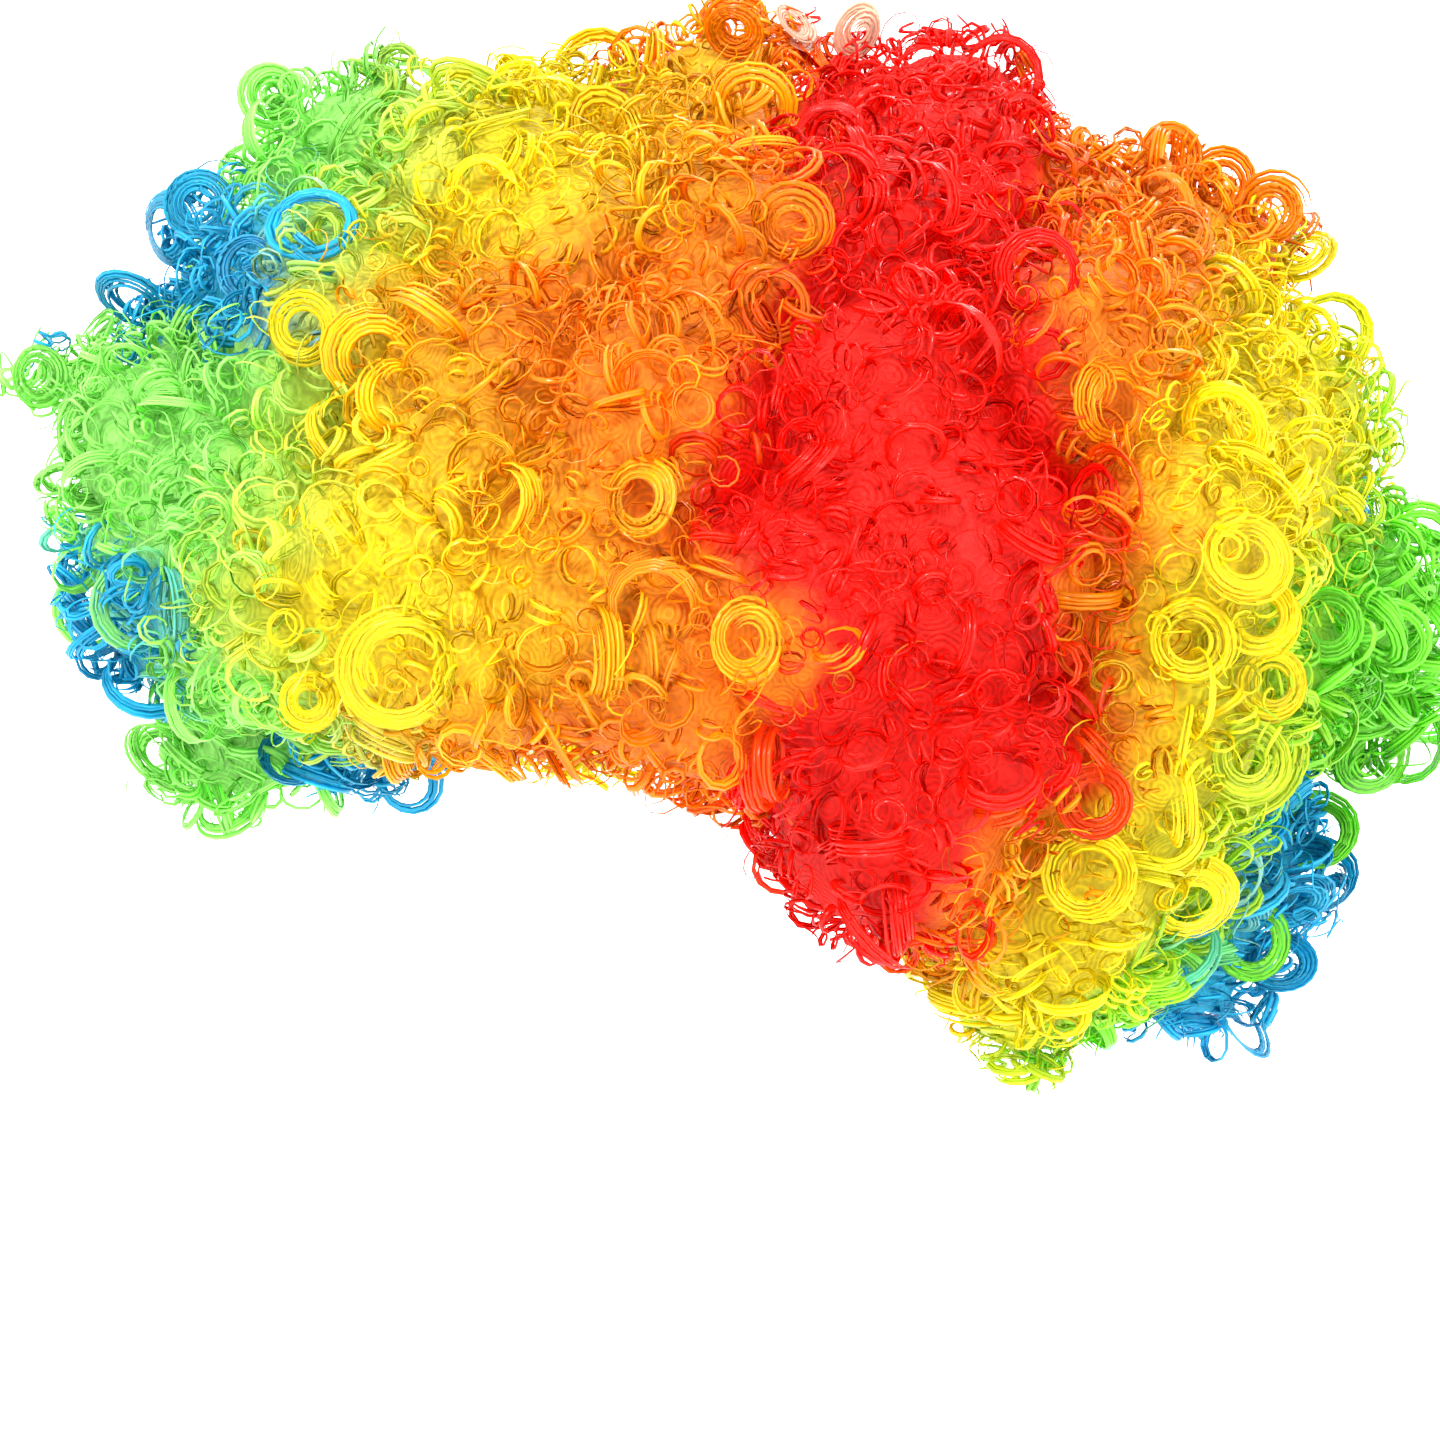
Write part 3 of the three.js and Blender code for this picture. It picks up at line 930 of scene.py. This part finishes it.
class WIG_OT_hair(Operator):
    """Make the under-layer, the curls and the loose strands of every colour."""

    bl_idname = "wig.hair"
    bl_label = "Hair"

    def execute(self, context):
        scene = context.scene
        curls, dyes = scene.wig_curls, scene.wig_dyes
        rng = np.random.default_rng(curls.seed)
        bases = {node: make_under_layer(node, curls, dyes) for node in HAIR}
        sources = [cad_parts[node] for node in HAIR]
        form = rounded_form("form", sources, curls.fold_fill, curls.swell, curls.form_voxel)
        tree = BVHTree.FromPolygons(*polygons_of([form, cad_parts["wig_cap"]]))
        rings = place_ringlets(tree, scene)
        spots, _, beyond, sizes, _ = rings
        points, normals, kept, loose = place_curls(form, tree, spots[beyond], curls, rng)
        bpy.data.meshes.remove(form.data)
        owners, ring_owners = nearest_pieces(points, bases), nearest_pieces(spots, bases)
        for owner, (node, base) in enumerate(bases.items()):
            slot, own_dye = HAIR[node]
            fibre = curled_strand(f"Crimped_polyester_{slot}_of_{node}")
            base.data.materials.append(matted_curls(f"Matted_polyester_{slot}_of_{node}"))
            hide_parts(node)
            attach(base, "root")
            own = kept[owners[kept] == owner]
            apart = np.linalg.norm(points[own][:, None] - spots, axis=-1)
            kinds = pick_kinds(points[own], (apart < sizes / 2).any(1), rng)
            parts = small_curls(points[own], normals[own], kinds, own_dye, scene, rng)
            mine = ring_owners == owner
            if mine.any():
                parts.append(ringlets(*[column[mine] for column in rings], rng))
            make_strands(node + "_curls", parts, fibre)
            own = loose[owners[loose] == owner]
            part = frizz(points[own], normals[own], own_dye, curls, dyes, rng)
            make_strands(node + "_frizz", [part], fibre)
        return {"FINISHED"}


def dome(name, growth, low_cut, high_cut, thickness):
    """A shell on the head's round form, kept between two sloping planes."""
    cap = bpy.context.scene.wig_cap
    deselect_all()
    bpy.ops.mesh.primitive_uv_sphere_add(segments=96, ring_count=48, radius=1)
    obj = bpy.context.object
    obj.name = obj.data.name = name
    halves = HEAD_HALVES + growth
    obj.data.transform(Matrix.Translation(HEAD_CENTRE) @ Matrix.Diagonal((*halves, 1)))
    bpy.ops.object.mode_set(mode="EDIT")
    slope = (0, math.sin(cap.edge_slope), math.cos(cap.edge_slope))
    for cut, keep_above in ((low_cut, True), (high_cut, False)):
        if cut is None:
            continue
        bpy.ops.mesh.select_all(action="SELECT")
        bpy.ops.mesh.bisect(
            plane_co=(0, 0, cut - cap.edge_drop),
            plane_no=slope,
            clear_inner=keep_above,
            clear_outer=not keep_above,
        )
    bpy.ops.object.mode_set(mode="OBJECT")
    wall = obj.modifiers.new("Wall", "SOLIDIFY")
    wall.thickness = thickness
    wall.offset = 1
    apply_all(obj)
    bpy.ops.object.shade_smooth_by_angle(angle=math.radians(40))
    return obj


def stretch_net(name):
    """Warp-knitted polyamide net: black and matt, with small diamond meshes in rows."""
    material, tree, output = new_material(name)
    place = add_node(tree, "ShaderNodeTexCoord").outputs["Object"]
    meshes = add_node(
        tree,
        "ShaderNodeTexVoronoi",
        {"feature": "DISTANCE_TO_EDGE", "Scale": 420, "Randomness": 0.25},
        {"Vector": place},
    )
    thread = add_node(
        tree,
        "ShaderNodeMapRange",
        {"From Min": 0.05, "From Max": 0.3, "To Min": 1, "To Max": 0},
        {"Value": meshes.outputs["Distance"]},
    )
    tone = add_node(
        tree,
        "ShaderNodeMix",
        {"data_type": "RGBA", 6: (*linear("#08080A"), 1), 7: (*linear("#3A3838"), 1)},
        {"Factor": thread.outputs[0]},
    )
    relief = add_node(
        tree,
        "ShaderNodeBump",
        {"Strength": 0.8, "Distance": 0.5 * MM},
        {"Height": thread.outputs[0]},
    )
    surface = add_node(
        tree,
        "ShaderNodeBsdfPrincipled",
        {"Roughness": 0.8, "Sheen Weight": 0.3},
        {"Base Color": tone.outputs[2], "Normal": relief.outputs[0]},
    )
    tree.links.new(surface.outputs[0], output.inputs["Surface"])
    return material


def woven_elastic(name):
    """Woven elastic of rubber cores in polyester yarn: dark and matt, ribbed lengthwise."""
    material, tree, output = new_material(name)
    place = add_node(tree, "ShaderNodeTexCoord").outputs["Object"]
    ribs = add_node(
        tree,
        "ShaderNodeTexWave",
        {"bands_direction": "Z", "Scale": 180, "Distortion": 0.6, "Detail": 1},
        {"Vector": place},
    )
    relief = add_node(
        tree,
        "ShaderNodeBump",
        {"Strength": 0.7, "Distance": 0.4 * MM},
        {"Height": ribs.outputs[0]},
    )
    tone = add_node(
        tree,
        "ShaderNodeMix",
        {"data_type": "RGBA", 6: (*linear("#161616"), 1), 7: (*linear("#343232"), 1)},
        {"Factor": ribs.outputs[0]},
    )
    surface = add_node(
        tree,
        "ShaderNodeBsdfPrincipled",
        {"Roughness": 0.75, "Sheen Weight": 0.25},
        {"Base Color": tone.outputs[2], "Normal": relief.outputs[0]},
    )
    tree.links.new(surface.outputs[0], output.inputs["Surface"])
    return material


class WIG_OT_cap(Operator):
    """Make the net cap and the elastic inside its edge."""

    bl_idname = "wig.cap"
    bl_label = "Cap and elastic edge"

    def execute(self, context):
        cap = context.scene.wig_cap
        net = dome("net_cap", 0.3 * MM, 0, None, cap.wall - 0.3 * MM)
        net.data.materials.append(stretch_net("Knitted_stretch_net"))
        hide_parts("wig_cap")
        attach(net, "root")
        top = cap.band_inset + cap.band_width
        band = dome("elastic_edge", -cap.band_thickness, cap.band_inset, top, cap.band_thickness)
        band.data.materials.append(woven_elastic("Woven_elastic"))
        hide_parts("elastic_band")
        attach(band, "root")
        return {"FINISHED"}


def soft_sun(name, across, near, rise, spread, power):
    """A distant light with soft shadows, from a side given in the viewer's directions."""
    data = bpy.data.lights.new(name, "SUN")
    data.angle = math.radians(spread)
    data.energy = power
    obj = bpy.data.objects.new(name, data)
    bpy.context.scene.collection.objects.link(obj)
    place = Vector(ACROSS * across + NEAR * near + np.array([0, 0, rise]))
    obj.location = place
    obj.rotation_euler = place.to_track_quat("Z", "Y").to_euler()
    return obj


class WIG_OT_stage(Operator):
    """Make the floor, the soft light and the camera."""

    bl_idname = "wig.stage"
    bl_label = "Stage"

    def execute(self, context):
        scene, stage = context.scene, context.scene.wig_stage
        scene.view_settings.view_transform = "Standard"
        deselect_all()
        bpy.ops.mesh.primitive_plane_add(size=40, location=(0, 0, -stage.floor_drop))
        floor = context.object
        floor.name = "floor"
        material, tree, output = new_material("Pale_paper")
        surface = add_node(
            tree,
            "ShaderNodeBsdfPrincipled",
            {"Base Color": (*linear("#F4F4F2"), 1), "Roughness": 0.9},
        )
        tree.links.new(surface.outputs[0], output.inputs["Surface"])
        floor.data.materials.append(material)
        world = bpy.data.worlds.new("Bright_room")
        world.use_nodes = True
        world.node_tree.nodes["Background"].inputs[0].default_value = (1, 1, 1, 1)
        world.node_tree.nodes["Background"].inputs[1].default_value = 2.0
        scene.world = world
        soft_sun("key", -0.7, 1.0, 1.9, 9, 3.0)
        soft_sun("fill", 0.8, 1.6, 0.4, 22, 1.6)
        soft_sun("rim", 0.3, -1.3, 1.2, 22, 1.6)
        centre = Vector(FORM_CENTRE)
        data = bpy.data.cameras.new("camera")
        data.lens = stage.lens
        camera = bpy.data.objects.new("camera", data)
        scene.collection.objects.link(camera)
        eye = centre + Vector(NEAR) * stage.distance
        aim = centre - Vector(ACROSS) * 1.4 * MM - Vector(RISE) * 42 * MM
        camera.location = eye
        camera.rotation_euler = (aim - eye).to_track_quat("-Z", "Y").to_euler()
        scene.camera = camera
        return {"FINISHED"}


class WIG_PT_sidebar(Panel):
    """Lists the wig's operators and sizes."""

    bl_label = "Clown wig"
    bl_space_type = "VIEW_3D"
    bl_region_type = "UI"
    bl_category = "Wig"

    def draw(self, context):
        for operator in OPERATORS:
            self.layout.operator(operator.bl_idname)
        for group in GROUPS:
            column = self.layout.column(align=True)
            values = getattr(context.scene, group)
            for name in values.bl_rna.properties.keys():
                if name not in ("rna_type", "name"):
                    column.prop(values, name)


OPERATORS = (WIG_OT_hair, WIG_OT_cap, WIG_OT_stage)
GROUPS = {
    "wig_dyes": WigDyes,
    "wig_curls": WigCurls,
    "wig_cap": WigCap,
    "wig_stage": WigStage,
}


def register():
    for cls in (*GROUPS.values(), *OPERATORS, WIG_PT_sidebar):
        bpy.utils.register_class(cls)
    for name, group in GROUPS.items():
        setattr(bpy.types.Scene, name, PointerProperty(type=group))


def unregister():
    for name in GROUPS:
        delattr(bpy.types.Scene, name)
    for cls in (WIG_PT_sidebar, *OPERATORS[::-1], *list(GROUPS.values())[::-1]):
        bpy.utils.unregister_class(cls)


def main():
    """Build the wig and its stage."""
    register()
    bpy.ops.wig.hair()
    bpy.ops.wig.cap()
    bpy.ops.wig.stage()


if __name__ == "__main__":
    main()
